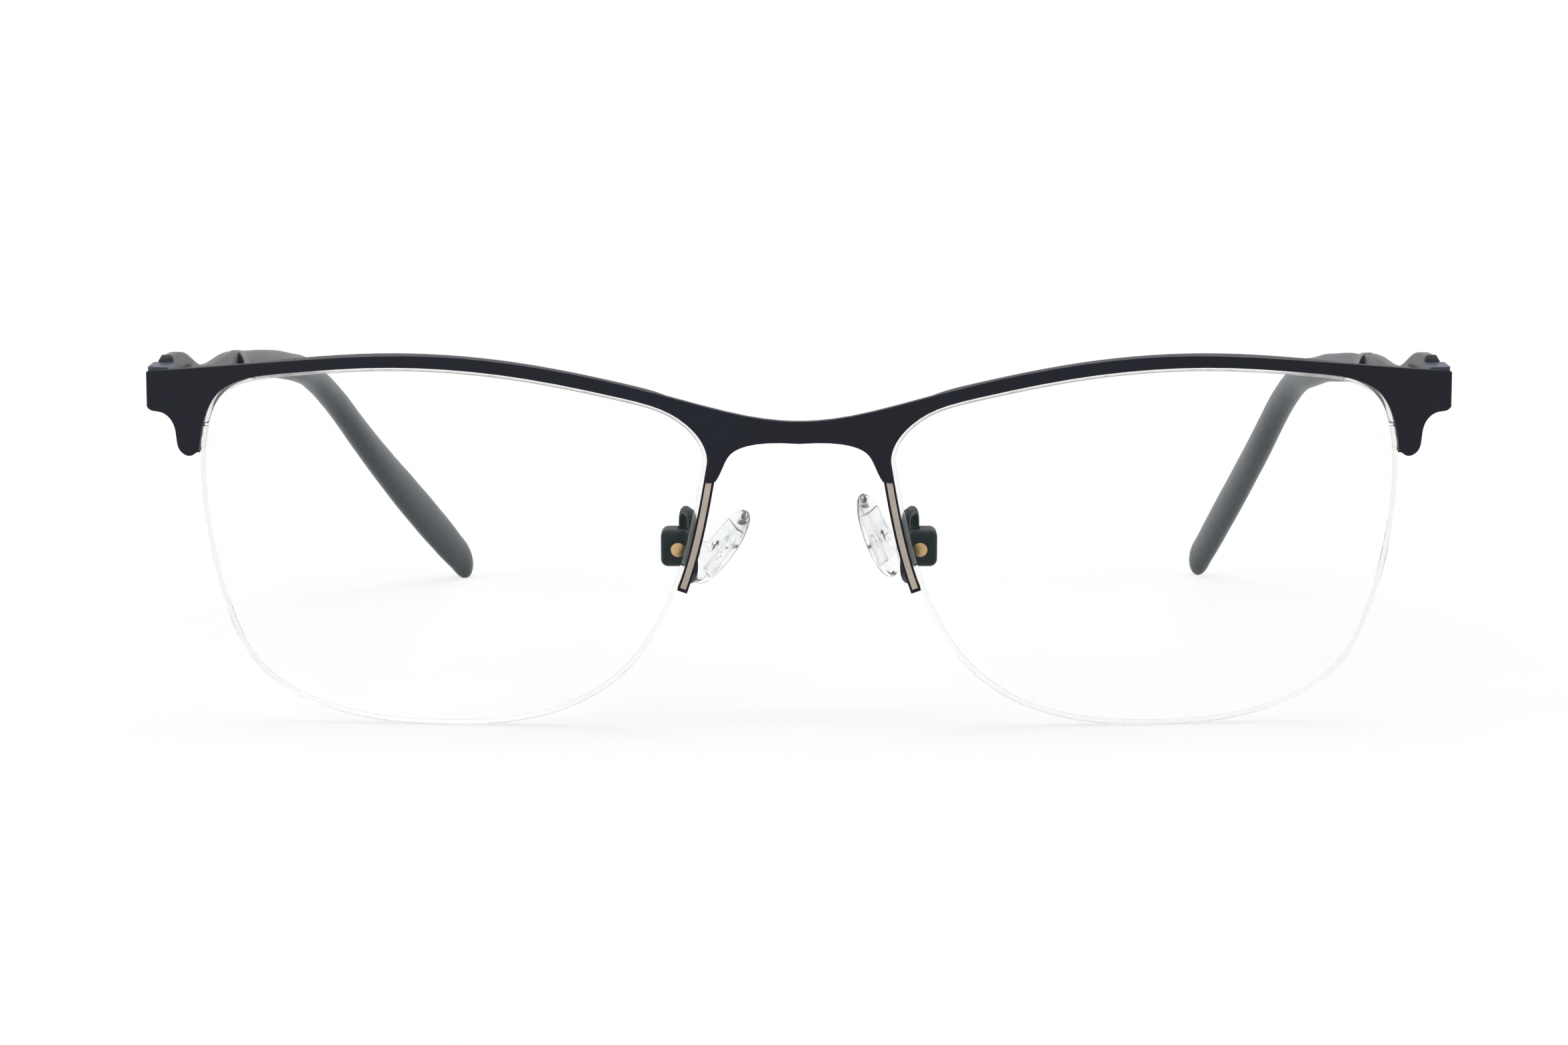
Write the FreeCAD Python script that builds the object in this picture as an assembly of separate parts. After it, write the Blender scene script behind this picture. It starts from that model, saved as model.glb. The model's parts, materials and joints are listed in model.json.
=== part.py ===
import FreeCAD, Part
import math
import os

# Semi-rimless eyeglasses, standing open on a table.
# Every piece is drawn in the front's own frame: X to the wearer's left, Y from the front
# towards the ears, Z up the front, Z = 0 at the bottom of the lenses. The finished model is
# leaned forward by the front's tilt and moved so that the middle of its footprint is the origin.
# All sizes are in millimetres.

V = FreeCAD.Vector
X_AXIS, Y_AXIS, Z_AXIS = V(1, 0, 0), V(0, 1, 0), V(0, 0, 1)

# ---------------------------------------------------------------- driving sizes
LENS_WIDTH = 54.05           # boxed width of one lens
LENS_HEIGHT = 38.6           # boxed height of one lens
BRIDGE_GAP = 19.3            # shortest distance between the lenses
TEMPLE_LENGTH = 137.4        # along the temple from the hinge to the end of the tip
FRONT_TILT = 5.0             # lean of the front, in degrees

CURVE_RADIUS = 200.0         # the front and the lenses share this base curve
FLAT_HALF_WIDTH = 18.6       # the curve starts this far from the middle
LENS_THICKNESS = 2.0
LENS_SETBACK = 0.1           # lens face behind the back of the plate
GROOVE_WIDTH = 0.6
GROOVE_DEPTH = 0.55

PLATE_THICKNESS = 0.8
BROW_DEPTH = 1.26            # height of the plate over the top of a lens
END_OVERHANG = 5.5           # from the lens edge to the end of the plate
END_HEIGHT = 4.05
LUG_DROP = 4.75              # the lug reaches this far below the end of the plate
LEG_DROP = 4.1               # the leg reaches this far below the bridge

RAIL_WIDTH = 1.1
RAIL_DEPTH = 2.2
RAIL_SLOT = 0.35             # depth of the liner's slot in the rail
BAR_END = 14.9               # height of the lower end of the nasal bar
BAR_LEAN = 20.0
LINER_CLEARANCE = 0.1        # between the liner and the bottom of the lens groove
CORD_SUNK = 0.05             # the cord lies this far below the edge of the lens
CORD_CLEARANCE = 0.04        # between the cord and the bottom of the lens groove
SIDE_CLEARANCE = 0.05        # between the liner or the cord and the groove's sides
TRIM_WIDTH = 0.62
TRIM_MARGIN = 0.22
TRIM_PROUD = 0.25
TRIM_INLAY = 0.2

HINGE_INSET = 4.2            # from the end of the plate in to the hinge axis
HINGE_SETBACK = 5.3          # from the back of the plate to the hinge axis
KNUCKLE_RADIUS = 1.3
KNUCKLE_HEIGHT = 1.2
KNUCKLE_GAP = 0.05
KNUCKLE_DROP = 0.55          # the knuckle lies this far below the middle of the end
EAR_HEIGHT = 0.8
SCREW_RADIUS = 0.6
SCREW_CLEARANCE = 0.05
SCREW_HEAD_RADIUS = 1.0
SCREW_HEAD_HEIGHT = 0.3
SCREW_SLOT_DEPTH = 0.18
BLOCK_WIDTH = 2.3
BUTT_GAP = 0.1               # between the temple's end and the block at rest

ARM_INSET = 2.05             # from the hinge axis out to the inner face of the temple
ARM_LENGTH = 33.5
HOOD_LENGTH = 7.0            # the arm keeps its full height this far behind the hinge
WAIST_AT = 16.0
ARM_END_HEIGHT = 6.4
ARM_WAIST_HEIGHT = 3.75
ARM_COLLAR_HEIGHT = 6.4
ARM_THICKNESS = 1.8
ARM_BEVEL = 0.45
COLLAR_LENGTH = 3.4
COLLAR_PROUD = 0.25
TIP_HEIGHT = 6.5
TIP_THICKNESS = 3.4
TIP_NARROWING = 0.14         # the tip is this much lower at its end
TIP_THINNING = 0.12          # and this much thinner
CORE_HEIGHT = 2.6
CORE_THICKNESS = 1.3
CORE_SHORT = 9.0             # the core ends this far before the end of the tip
BEND_AT = 84.6               # from the hinge to the middle of the ear bend
BEND_RADIUS = 39.0

PAD_LENGTH = 9.8
PAD_WIDTH = 6.0
PAD_THICKNESS = 1.9
PAD_FRONTAL = 30.0           # lean of the pad seen from the front
PAD_SPLAY = 22.0             # turn of the pad seen from above
PAD_REACH = V(-4.5, 1.9, 0.05)  # from the pad screw to the middle of the pad
BOX_CENTRE = V(3.35, 9.2, 18.2)  # pad screw: out from the lens edge, back from the plate, up
BOX_SIZE = V(3.1, 3.6, 4.0)
BOX_ROUND = 0.8
BOX_SLOT = 1.3
TONGUE_CLEARANCE = 0.1       # around the pad's tongue in its box
TONGUE_RADIUS = 1.0
PAD_SCREW_RADIUS = 0.5
PAD_SCREW_HEAD = 0.75
WIRE_RADIUS = 0.5
WIRE_BEND = 1.5
ARCH_HEIGHT = 1.9            # the wire passes this far over the pad's box

# Each side as it was last adjusted by hand: degrees, seen by the wearer.
SIDES = {
    "right": {"mirror": True, "toe_in": 2.7, "roll": 17.7, "drop": 36.2, "hook": 8.7, "pad_rock": 8.0},
    "left": {"mirror": False, "toe_in": 1.7, "roll": 9.3, "drop": 31.7, "hook": 3.2, "pad_rock": -8.0},
}

# ---------------------------------------------------------------- derived places
INNER_EDGE = BRIDGE_GAP / 2
OUTER_EDGE = INNER_EDGE + LENS_WIDTH
END_X = OUTER_EDGE + END_OVERHANG
END_TOP = LENS_HEIGHT - 1.05
END_BOTTOM = END_TOP - END_HEIGHT
LUG_BOTTOM = END_BOTTOM - LUG_DROP
BRIDGE_TOP = LENS_HEIGHT - 5.4
BRIDGE_BOTTOM = BRIDGE_TOP - 2.3
LEG_BOTTOM = BRIDGE_BOTTOM - LEG_DROP
MID_HEIGHT = LENS_HEIGHT / 2 + 0.9
LENS_MIDDLE = LENS_SETBACK + LENS_THICKNESS / 2
LENS_CENTRE_X = INNER_EDGE + LENS_WIDTH / 2
HINGE_X = END_X - HINGE_INSET
HINGE_Z = (END_TOP + END_BOTTOM) / 2


def curve_depth(x):
    """How far the back of the plate lies behind its middle, at x from the middle."""
    run = max(abs(x) - FLAT_HALF_WIDTH, 0.0)
    return CURVE_RADIUS - math.sqrt(CURVE_RADIUS ** 2 - run ** 2)


HINGE_Y = curve_depth(HINGE_X) + HINGE_SETBACK

# Lens outline: shares of its width from the nasal edge and of its height from the bottom.
LENS_OUTLINE = [
    (0.000, 0.744), (0.026, 0.552), (0.082, 0.319), (0.169, 0.149), (0.286, 0.050), (0.511, 0.000),
    (0.757, 0.040), (0.885, 0.140), (0.961, 0.350), (0.996, 0.622), (0.994, 0.793), (0.961, 0.912),
    (0.820, 0.979), (0.623, 1.000), (0.390, 0.983), (0.158, 0.922), (0.039, 0.852),
]


# ---------------------------------------------------------------- helpers
def spline(points, closed=False):
    curve = Part.BSplineCurve()
    curve.interpolate(Points=points, PeriodicFlag=closed)
    return curve


def lens_curve():
    return spline([V(INNER_EDGE + u * LENS_WIDTH, 0, v * LENS_HEIGHT) for u, v in LENS_OUTLINE], True)


LENS_CURVE = lens_curve()
LOOP_SAMPLES = 72
PRISM_START = -8.0
PRISM_LENGTH = 40.0


def lens_loop(outwards):
    """Closed face bounded by the lens outline moved outwards (or inwards, if negative)."""
    first, last = LENS_CURVE.FirstParameter, LENS_CURVE.LastParameter
    points = []
    for step in range(LOOP_SAMPLES):
        at = first + (last - first) * step / LOOP_SAMPLES
        tangent = LENS_CURVE.tangent(at)[0]
        normal = V(tangent.z, 0, -tangent.x)
        centre = V(LENS_CENTRE_X, 0, LENS_HEIGHT / 2)
        here = LENS_CURVE.value(at)
        if normal.dot(here - centre) < 0:
            normal = -normal
        points.append(here + normal * outwards)
    return Part.Face(Part.Wire(spline(points, True).toShape()))


def prism(face):
    moved = face.copy()
    moved.translate(V(0, PRISM_START, 0))
    return moved.extrude(V(0, PRISM_LENGTH, 0))


def ring(inner, outer):
    """Prism of the band between two moved lens outlines."""
    return prism(lens_loop(outer)).cut(prism(lens_loop(inner)))


def ball(depth):
    """Sphere whose front lies this far behind the back of the plate, on one side."""
    return Part.makeSphere(CURVE_RADIUS - depth, V(FLAT_HALF_WIDTH, CURVE_RADIUS, MID_HEIGHT))


def layer(front, back):
    """Curved sheet between two depths behind the plate, on one side."""
    return ball(front).cut(ball(back))


def barrel(depth):
    """The same surface over both sides: two balls joined by a cylinder across the bridge."""
    radius = CURVE_RADIUS - depth
    right = Part.makeSphere(radius, V(-FLAT_HALF_WIDTH, CURVE_RADIUS, MID_HEIGHT))
    left = Part.makeSphere(radius, V(FLAT_HALF_WIDTH, CURVE_RADIUS, MID_HEIGHT))
    start = V(-FLAT_HALF_WIDTH, CURVE_RADIUS, MID_HEIGHT)
    middle = Part.makeCylinder(radius, 2 * FLAT_HALF_WIDTH, start, X_AXIS)
    return middle.fuse([right, left])


def box(low, high):
    return Part.makeBox(high.x - low.x, high.y - low.y, high.z - low.z, low)


def rod(radius, start, end):
    return Part.makeCylinder(radius, (end - start).Length, start, end - start)


def rounded(shape, radius):
    return shape.makeFillet(radius, shape.Edges)


def one_solid(shape):
    """The largest solid of a boolean's result, with split faces joined again."""
    solids = sorted(shape.Solids, key=lambda solid: solid.Volume)
    return solids[-1].removeSplitter()


# ---------------------------------------------------------------- front
def plate_half():
    """Outline of the left half of the plate, filled past the lens so that the lens can be cut out."""
    top = [V(0, 0, BRIDGE_TOP)]
    for share, over in [(-0.030, -4.3), (0.123, -2.1), (0.316, 0.1), (0.587, BROW_DEPTH), (0.820, 0.45)]:
        top.append(V(INNER_EDGE + share * LENS_WIDTH, 0, LENS_HEIGHT + over))
    top.append(V(END_X - 0.3, 0, END_TOP))
    top_edge = Part.BSplineCurve()
    top_edge.interpolate(Points=top, InitialTangent=V(1, 0, 0), FinalTangent=V(1, 0, -0.1))
    corner = [V(END_X - 0.3, 0, END_TOP), V(END_X - 0.05, 0, END_TOP - 0.09), V(END_X, 0, END_TOP - 0.35)]
    lug = [
        V(END_X, 0, END_BOTTOM + 0.3), V(END_X - 0.35, 0, END_BOTTOM - 0.05),
        V(END_X - 1.5, 0, END_BOTTOM - 0.25), V(END_X - 2.7, 0, END_BOTTOM - 1.1),
        V(END_X - 3.2, 0, END_BOTTOM - 2.8), V(END_X - 3.5, 0, LUG_BOTTOM + 0.6),
        V(END_X - 4.3, 0, LUG_BOTTOM), V(END_X - 5.3, 0, LUG_BOTTOM + 0.3),
    ]
    inside = [
        lug[-1], V(OUTER_EDGE - 4, 0, LUG_BOTTOM + 2), V(OUTER_EDGE - 8, 0, LENS_HEIGHT - 6),
        V(LENS_CENTRE_X, 0, LENS_HEIGHT - 4), V(INNER_EDGE + 8, 0, LENS_HEIGHT - 8),
        V(INNER_EDGE + 3, 0, LEG_BOTTOM), V(INNER_EDGE + 0.3, 0, LEG_BOTTOM),
    ]
    leg = [
        V(INNER_EDGE - 0.9, 0, LEG_BOTTOM + 0.1), V(INNER_EDGE - 1.5, 0, LEG_BOTTOM + 1.2),
        V(INNER_EDGE - 2.4, 0, LEG_BOTTOM + 2.9), V(INNER_EDGE - 4.4, 0, BRIDGE_BOTTOM - 0.2),
        V(0, 0, BRIDGE_BOTTOM),
    ]
    leg_edge = Part.BSplineCurve()
    leg_edge.interpolate(Points=leg, FinalTangent=V(-1, 0, 0))
    edges = [
        top_edge.toShape(), spline(corner).toShape(), Part.makeLine(corner[-1], lug[0]),
        spline(lug).toShape(), Part.makePolygon(inside), Part.makeLine(inside[-1], leg[0]),
        leg_edge.toShape(), Part.makeLine(leg[-1], top[0]),
    ]
    flat = []
    for edge in edges:
        flat += edge.Edges
    return Part.Face(Part.Wire(flat))


def front_plate():
    half = prism(plate_half()).cut(prism(lens_loop(0.0)))
    whole = half.fuse(half.mirror(V(0, 0, 0), X_AXIS))
    return one_solid(whole.common(barrel(-PLATE_THICKNESS)).cut(barrel(0.0)))


FAR = 200.0


def upper_zone(nasal_end, temporal_end):
    """Space that holds the part of a ring above its nasal and its temporal end."""
    nasal = box(V(-FAR, -FAR, 0), V(FAR, FAR, FAR))
    nasal.rotate(V(0, 0, 0), Y_AXIS, -BAR_LEAN)
    nasal.translate(V(INNER_EDGE + 2.6, 0, nasal_end))
    nasal = nasal.common(box(V(-FAR, -FAR, -FAR), V(LENS_CENTRE_X, FAR, FAR)))
    temporal = box(V(LENS_CENTRE_X, -FAR, temporal_end), V(FAR, FAR, FAR))
    return nasal.fuse(temporal)


def groove_layer(spare):
    half = GROOVE_WIDTH / 2 - spare
    return layer(LENS_MIDDLE - half, LENS_MIDDLE + half)


RAIL_TEMPORAL_END = LUG_BOTTOM + 0.25
LINER_START = 3.0            # the liner stays this far above the ends of the rail
CORD_TO_LINER = 0.3


def lens():
    blank = prism(lens_loop(0.0)).common(layer(LENS_SETBACK, LENS_SETBACK + LENS_THICKNESS))
    groove = ring(-GROOVE_DEPTH, 0.5).common(groove_layer(0.0))
    return one_solid(blank.cut(groove))


def rim_rail():
    band = ring(0.0, RAIL_WIDTH).common(layer(0.0, RAIL_DEPTH))
    band = band.common(upper_zone(BAR_END, RAIL_TEMPORAL_END))
    slot = ring(-0.5, RAIL_SLOT).common(groove_layer(SIDE_CLEARANCE))
    inlay = ring(TRIM_MARGIN, TRIM_MARGIN + TRIM_WIDTH).common(layer(-1.0, TRIM_INLAY))
    inlay = inlay.common(trim_zone())
    return one_solid(band.cut(slot).cut(inlay))


def trim_zone():
    low = upper_zone(BAR_END + 0.45, FAR / 2)
    return low.common(box(V(-FAR, -FAR, -FAR), V(LENS_CENTRE_X, FAR, LEG_BOTTOM - 0.15)))


def rim_trim():
    strip = ring(TRIM_MARGIN, TRIM_MARGIN + TRIM_WIDTH).common(layer(-TRIM_PROUD, TRIM_INLAY))
    return one_solid(strip.common(trim_zone()))


def rim_liner():
    grip = GROOVE_DEPTH - LINER_CLEARANCE
    band = ring(-grip, RAIL_SLOT).common(groove_layer(SIDE_CLEARANCE))
    return one_solid(band.common(upper_zone(BAR_END + LINER_START, RAIL_TEMPORAL_END + LINER_START)))


def nylon_cord():
    """Lies in the lens groove under the lens and ends in the slot of the rail."""
    inner = CORD_CLEARANCE - GROOVE_DEPTH
    strand = ring(inner, -CORD_SUNK).common(groove_layer(SIDE_CLEARANCE + 0.02))
    knots = ring(inner, RAIL_SLOT).common(groove_layer(SIDE_CLEARANCE))
    start = LINER_START - CORD_TO_LINER
    upper = upper_zone(BAR_END + start, RAIL_TEMPORAL_END + start)
    knot_zone = upper_zone(BAR_END + 0.6, RAIL_TEMPORAL_END + 0.4)
    return one_solid(strand.fuse(knots.common(knot_zone)).cut(upper))


# ---------------------------------------------------------------- hinge
KNUCKLE_Z = HINGE_Z - KNUCKLE_DROP
EAR_TOP = KNUCKLE_Z + KNUCKLE_HEIGHT / 2 + KNUCKLE_GAP + EAR_HEIGHT
EAR_LOW = KNUCKLE_Z - KNUCKLE_HEIGHT / 2 - KNUCKLE_GAP - EAR_HEIGHT
HOLE_RADIUS = SCREW_RADIUS + SCREW_CLEARANCE


def hinge_point(z):
    return V(HINGE_X, HINGE_Y, z)


def hinge_block():
    low, high = END_BOTTOM + 0.1, END_TOP + 0.35
    block = box(V(END_X - BLOCK_WIDTH, 0, low), V(END_X - 0.05, HINGE_Y - BUTT_GAP, high))
    ear_front = HINGE_Y - KNUCKLE_RADIUS - 0.6
    for low, high in [(EAR_LOW, EAR_LOW + EAR_HEIGHT), (EAR_TOP - EAR_HEIGHT, EAR_TOP)]:
        ear = rod(KNUCKLE_RADIUS, hinge_point(low), hinge_point(high))
        web = box(V(HINGE_X, ear_front, low), V(END_X - BLOCK_WIDTH + 0.5, HINGE_Y - BUTT_GAP, high))
        block = block.fuse(ear).fuse(web)
    block = block.cut(rod(HOLE_RADIUS, hinge_point(KNUCKLE_Z), hinge_point(EAR_TOP + 1)))
    block = block.cut(rod(SCREW_RADIUS, hinge_point(EAR_LOW - 1), hinge_point(KNUCKLE_Z)))
    return one_solid(block.common(ball(0.0)))


def hinge_screw():
    shank = rod(SCREW_RADIUS, hinge_point(EAR_LOW), hinge_point(EAR_TOP))
    head = rod(SCREW_HEAD_RADIUS, hinge_point(EAR_TOP), hinge_point(EAR_TOP + SCREW_HEAD_HEIGHT))
    slot = box(V(-2, -0.15, SCREW_HEAD_HEIGHT - SCREW_SLOT_DEPTH), V(2, 0.15, 1))
    slot.translate(hinge_point(EAR_TOP))
    return one_solid(shank.fuse(head).cut(slot))


def toe_frame(side):
    turn = FreeCAD.Rotation(Z_AXIS, side["toe_in"])
    return FreeCAD.Placement(hinge_point(HINGE_Z), turn)


def arm_frame(side, slope):
    down = FreeCAD.Placement(V(0, 0, 0), FreeCAD.Rotation(X_AXIS, -slope))
    return toe_frame(side).multiply(down)


def placed(shape, placement):
    moved = shape.copy()
    moved.Placement = placement.multiply(moved.Placement)
    return moved


def temple_knuckle(side):
    half = KNUCKLE_HEIGHT / 2
    knuckle = Part.makeCylinder(KNUCKLE_RADIUS, KNUCKLE_HEIGHT, V(0, 0, -half))
    web = box(V(0, 0.4, -half), V(ARM_INSET, 2 * KNUCKLE_RADIUS, half))
    foot = box(V(ARM_INSET - 0.7, KNUCKLE_RADIUS + 0.4, -1.5), V(ARM_INSET, 8.0, 1.5))
    hole = Part.makeCylinder(HOLE_RADIUS, 4, V(0, 0, -2))
    whole = one_solid(knuckle.fuse(web).fuse(foot).cut(hole))
    whole.translate(V(0, 0, -KNUCKLE_DROP))
    return placed(whole, toe_frame(side))


# ---------------------------------------------------------------- temple
def bevelled(along, height, thickness, bevel):
    """Bevelled rectangle across the arm, its inner face on the arm's inset."""
    top, bottom = height / 2, -height / 2
    inner, outer = ARM_INSET, ARM_INSET + thickness
    corners = [
        (inner, bottom + bevel), (inner + bevel / 2, bottom),
        (outer - bevel, bottom), (outer, bottom + 1.6 * bevel),
        (outer, top - 1.6 * bevel), (outer - bevel, top),
        (inner + bevel / 2, top), (inner, top - bevel),
    ]
    points = [V(x, along, z) for x, z in corners]
    return Part.makePolygon(points + points[:1])


def temple_arm(side, slope):
    fall = ARM_END_HEIGHT - ARM_WAIST_HEIGHT
    rise = ARM_COLLAR_HEIGHT - ARM_WAIST_HEIGHT
    neck, shoulder = WAIST_AT - HOOD_LENGTH, ARM_LENGTH - WAIST_AT
    stations = [
        (-1.5, ARM_END_HEIGHT, ARM_THICKNESS), (HOOD_LENGTH, ARM_END_HEIGHT - 0.1, ARM_THICKNESS),
        (HOOD_LENGTH + 0.38 * neck, ARM_WAIST_HEIGHT + 0.43 * fall, ARM_THICKNESS - 0.1),
        (HOOD_LENGTH + 0.67 * neck, ARM_WAIST_HEIGHT + 0.10 * fall, ARM_THICKNESS - 0.2),
        (WAIST_AT, ARM_WAIST_HEIGHT, ARM_THICKNESS - 0.25),
        (WAIST_AT + 0.34 * shoulder, ARM_WAIST_HEIGHT + 0.25 * rise, ARM_THICKNESS - 0.2),
        (WAIST_AT + 0.52 * shoulder, ARM_WAIST_HEIGHT + 0.59 * rise, ARM_THICKNESS - 0.1),
        (WAIST_AT + 0.70 * shoulder, ARM_WAIST_HEIGHT + 0.93 * rise, ARM_THICKNESS),
        (ARM_LENGTH, ARM_COLLAR_HEIGHT, ARM_THICKNESS),
    ]
    blade = Part.makeLoft([bevelled(y, h, t, ARM_BEVEL) for y, h, t in stations], True, False)
    blade = placed(blade, arm_frame(side, slope))
    ahead_of_hinge = box(V(0, -FAR, -FAR), V(FAR, HINGE_Y, FAR))
    return one_solid(blade.cut(ahead_of_hinge))


STEP = 0.5


def spine(side, slope):
    """Frames along the tip's centre line: place, direction, inward and upward vectors."""
    frame = arm_frame(side, slope)
    turn = frame.Rotation
    ahead, inward, up = turn.multVec(Y_AXIS), turn.multVec(-X_AXIS), turn.multVec(Z_AXIS)
    at = frame.multVec(V(ARM_INSET + ARM_THICKNESS / 2, ARM_LENGTH, 0))
    bend = math.radians(side["drop"])
    bend_start = BEND_AT - BEND_RADIUS * bend / 2
    bend_end = BEND_AT + BEND_RADIUS * bend / 2
    hook_rate = side["hook"] / (TEMPLE_LENGTH - bend_start)
    twist_rate = side["roll"] / (bend_start - ARM_LENGTH)
    frames = []
    steps = round((TEMPLE_LENGTH - ARM_LENGTH) / STEP)
    length = (TEMPLE_LENGTH - ARM_LENGTH) / steps
    for number in range(steps + 1):
        along = ARM_LENGTH + number * length
        frames.append((along, V(at), V(ahead), V(inward), V(up)))
        in_bend = max(0.0, min(along + length, bend_end) - max(along, bend_start))
        after = max(0.0, along + length - max(along, bend_start))
        before = length - after
        turns = FreeCAD.Rotation(ahead, twist_rate * before)
        turns = FreeCAD.Rotation(inward, math.degrees(in_bend / BEND_RADIUS)).multiply(turns)
        turns = FreeCAD.Rotation(up, hook_rate * after).multiply(turns)
        ahead, inward, up = turns.multVec(ahead), turns.multVec(inward), turns.multVec(up)
        at = at + ahead * length
    return frames


def ellipse_wire(frame, height, thickness):
    along, at, ahead, inward, up = frame
    corners = [at + up * (height / 2), at + inward * (thickness / 2), at]
    ellipse = Part.Ellipse(corners[0], corners[1], corners[2])
    return Part.Wire(ellipse.toShape())


def frame_at(frames, along):
    """Frame at a distance along the temple, between the two nearest ones."""
    place = (along - ARM_LENGTH) / (frames[1][0] - frames[0][0])
    number = min(int(place), len(frames) - 2)
    share = place - number
    before, after = frames[number], frames[number + 1]
    blend = [first * (1 - share) + second * share for first, second in zip(before[1:], after[1:])]
    return (along, blend[0]) + tuple(vector.normalize() for vector in blend[1:])


TIP_STATIONS = 15
TIP_ROUNDING = [(0.45, 0.9), (0.8, 0.62), (1.0, 0.3)]  # share of the last half height, size


def tip_sections(frames):
    """Frame, height and thickness of each section of the tip."""
    end_height = TIP_HEIGHT * (1 - TIP_NARROWING)
    end_thickness = TIP_THICKNESS * (1 - TIP_THINNING)
    start = ARM_LENGTH + COLLAR_LENGTH
    last = TEMPLE_LENGTH - end_height / 2
    sections = []
    for number in range(TIP_STATIONS):
        share = number / (TIP_STATIONS - 1)
        height = TIP_HEIGHT + (end_height - TIP_HEIGHT) * share
        thickness = TIP_THICKNESS + (end_thickness - TIP_THICKNESS) * share
        sections.append((frame_at(frames, start + (last - start) * share), height, thickness))
    for share, size in TIP_ROUNDING:
        frame = frame_at(frames, last + share * end_height / 2)
        sections.append((frame, end_height * size, end_thickness * size))
    return sections


def temple_tip(frames):
    shell = Part.makeLoft([ellipse_wire(*section) for section in tip_sections(frames)], True, False)
    return one_solid(shell.cut(core_solid(frames)))


def core_solid(frames):
    start = ARM_LENGTH
    last = TEMPLE_LENGTH - CORE_SHORT
    count = 12
    wires = []
    for number in range(count):
        along = start + (last - start) * number / (count - 1)
        wires.append(ellipse_wire(frame_at(frames, along), CORE_HEIGHT, CORE_THICKNESS))
    return Part.makeLoft(wires, True, False)


def temple_core(frames):
    return one_solid(core_solid(frames))


def tip_collar(frames):
    ends = [frame_at(frames, ARM_LENGTH), frame_at(frames, ARM_LENGTH + COLLAR_LENGTH)]
    height, thickness = TIP_HEIGHT + COLLAR_PROUD, TIP_THICKNESS + COLLAR_PROUD
    sleeve = Part.makeLoft([ellipse_wire(end, height, thickness) for end in ends], True, False)
    return one_solid(sleeve.cut(core_solid(frames)))


def to_table(point):
    """Height over the table of a point given in the front's frame."""
    tilt = math.radians(FRONT_TILT)
    return point.y * math.sin(tilt) + point.z * math.cos(tilt)


def lens_foot():
    """Height of the lowest point of a lens, the front edge of its bottom."""
    across = LENS_CENTRE_X - FLAT_HALF_WIDTH
    flat = (across ** 2 + MID_HEIGHT ** 2) / (2 * CURVE_RADIUS)
    return to_table(V(0, flat + LENS_SETBACK, 0))


def tip_foot(side, slope):
    """Height of the tip's lowest point over the table."""
    lowest = FAR
    for frame, height, thickness in tip_sections(spine(side, slope)):
        along, at, ahead, inward, up = frame
        reach = math.hypot(height / 2 * to_table(up), thickness / 2 * to_table(inward))
        lowest = min(lowest, to_table(at) - reach)
    return lowest


def standing_slope(side):
    """Slope of the arm at which the tip touches the table together with the lenses."""
    low, high = -5.0, 20.0
    for turn in range(30):
        middle = (low + high) / 2
        if tip_foot(side, middle) > lens_foot():
            low = middle
        else:
            high = middle
    return middle


# ---------------------------------------------------------------- nose pads
def pad_screw_point():
    return V(INNER_EDGE, 0, 0) + BOX_CENTRE


def rocked(shape, side):
    turned = shape.copy()
    turned.rotate(pad_screw_point(), Y_AXIS, -side["pad_rock"])
    return turned


def pad_placement():
    frontal = FreeCAD.Rotation(Y_AXIS, -PAD_FRONTAL)
    splay = FreeCAD.Rotation(Z_AXIS, -PAD_SPLAY)
    return FreeCAD.Placement(pad_screw_point() + PAD_REACH, frontal.multiply(splay))


def pad_core(side):
    centre = pad_screw_point()
    half = BOX_SLOT / 2 - TONGUE_CLEARANCE
    tongue = rod(TONGUE_RADIUS, centre + V(0, -half, 0), centre + V(0, half, 0))
    strap = box(V(-2.4, -half, -TONGUE_RADIUS), V(0, half, TONGUE_RADIUS))
    strap.translate(centre)
    stem = rod(0.6, centre + V(-1.9, 0, 0), centre + PAD_REACH)
    insert = placed(box(V(-0.35, -1.5, -2.8), V(0.35, 1.5, 2.8)), pad_placement())
    hole = rod(PAD_SCREW_RADIUS + SCREW_CLEARANCE, centre + V(0, -3, 0), centre + V(0, 3, 0))
    return rocked(one_solid(tongue.fuse([strap, stem, insert]).cut(hole)), side)


def nose_pad(side):
    oval = Part.Ellipse(V(0, 0, PAD_LENGTH / 2), V(0, PAD_WIDTH / 2, 0), V(0, 0, 0))
    blank = Part.Face(Part.Wire(oval.toShape()))
    blank.translate(V(-PAD_THICKNESS / 2, 0, 0))
    cushion = blank.extrude(V(PAD_THICKNESS, 0, 0))
    cushion = cushion.makeFillet(0.4 * PAD_THICKNESS, cushion.Edges)
    cushion = rocked(placed(cushion, pad_placement()), side)
    return one_solid(cushion.cut(pad_core(side)))


def pad_box():
    centre = pad_screw_point()
    shell = rounded(box(BOX_SIZE * -0.5, BOX_SIZE * 0.5), BOX_ROUND)
    shell.translate(centre + V(0.3, 0, 0))
    slot = box(V(-5, -BOX_SLOT / 2, -5), V(0, BOX_SLOT / 2, 5))
    slot.translate(centre)
    seat_radius = TONGUE_RADIUS + TONGUE_CLEARANCE
    seat = rod(seat_radius, centre + V(0, -BOX_SLOT / 2, 0), centre + V(0, BOX_SLOT / 2, 0))
    hole = rod(PAD_SCREW_RADIUS, centre + V(0, -5, 0), centre + V(0, 5, 0))
    return one_solid(shell.cut([slot, seat, hole]))


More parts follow.
